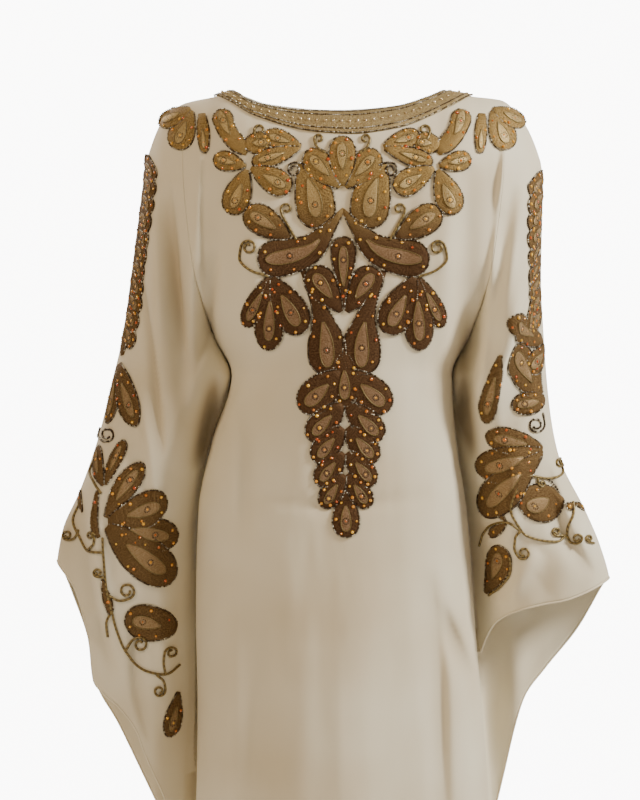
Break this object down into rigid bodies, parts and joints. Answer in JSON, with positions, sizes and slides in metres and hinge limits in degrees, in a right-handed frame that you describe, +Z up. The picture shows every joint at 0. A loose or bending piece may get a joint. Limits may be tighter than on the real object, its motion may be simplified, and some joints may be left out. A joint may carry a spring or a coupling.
{
  "type": "kaftan",
  "caption": "Ankle-length batwing kaftan in worn form, with wide open sleeves, a boat neck and raised paisley embroidery on its yoke and sleeves.",
  "frame": {"origin": "midway between the two points where the shoulder seams meet the neckline", "axes": "+Z up along the garment's length, -Y out of the front, -X toward the wearer's right"},
  "size_m": [0.6626, 0.3409, 1.4263],
  "materials": {
    "ivory_georgette": "soft crepe georgette with a fine pebbled grain",
    "antique_gold_embroidery": "dense antique gold thread and cord, low metallic sheen",
    "dark_bronze_embroidery": "dense dark bronze thread and cord, low metallic sheen",
    "gold_neck_band": "beaded gold braid"
  },
  "bodies": {
    "root": {"applique_back_left_eye": "dark_bronze_embroidery", "applique_back_left_fan": "dark_bronze_embroidery", "applique_back_left_high": "dark_bronze_embroidery", "applique_back_right_eye": "dark_bronze_embroidery", "applique_back_right_fan": "dark_bronze_embroidery", "applique_back_right_high": "dark_bronze_embroidery", "applique_bud_left": "antique_gold_embroidery", "applique_bud_right": "antique_gold_embroidery", "applique_chain_1": "dark_bronze_embroidery", "applique_chain_2": "dark_bronze_embroidery", "applique_chain_3": "dark_bronze_embroidery", "applique_chain_4": "dark_bronze_embroidery", "applique_chain_5": "dark_bronze_embroidery", "applique_cluster_left": "antique_gold_embroidery", "applique_cluster_right": "antique_gold_embroidery", "applique_crown": "dark_bronze_embroidery", "applique_drop": "dark_bronze_embroidery", "applique_hanging_fan_left": "dark_bronze_embroidery", "applique_hanging_fan_right": "dark_bronze_embroidery", "applique_heart": "antique_gold_embroidery", "applique_leaf_left": "dark_bronze_embroidery", "applique_leaf_right": "dark_bronze_embroidery", "applique_paisley_high_left": "antique_gold_embroidery", "applique_paisley_high_right": "antique_gold_embroidery", "applique_paisley_low_left": "dark_bronze_embroidery", "applique_paisley_low_right": "dark_bronze_embroidery", "applique_scroll_leaf_left": "antique_gold_embroidery", "applique_scroll_leaf_right": "antique_gold_embroidery", "applique_shoulder_left": "antique_gold_embroidery", "applique_shoulder_right": "antique_gold_embroidery", "applique_sleeve_left_eye": "dark_bronze_embroidery", "applique_sleeve_left_fan": "dark_bronze_embroidery", "applique_sleeve_left_high": "dark_bronze_embroidery", "applique_sleeve_left_loop": "dark_bronze_embroidery", "applique_sleeve_left_mid": "dark_bronze_embroidery", "applique_sleeve_left_slip": "dark_bronze_embroidery", "applique_sleeve_left_strip": "dark_bronze_embroidery", "applique_sleeve_right_cuff": "dark_bronze_embroidery", "applique_sleeve_right_eye": "dark_bronze_embroidery", "applique_sleeve_right_fan": "dark_bronze_embroidery", "applique_sleeve_right_high": "dark_bronze_embroidery", "applique_wing_left": "dark_bronze_embroidery", "applique_wing_right": "dark_bronze_embroidery", "back": "ivory_georgette", "front": "ivory_georgette", "neck_band_back": "gold_neck_band", "neck_band_front": "gold_neck_band", "sleeve_left_back": "ivory_georgette", "sleeve_left_front": "ivory_georgette", "sleeve_right_back": "ivory_georgette", "sleeve_right_front": "ivory_georgette"}
  },
  "joints": []
}
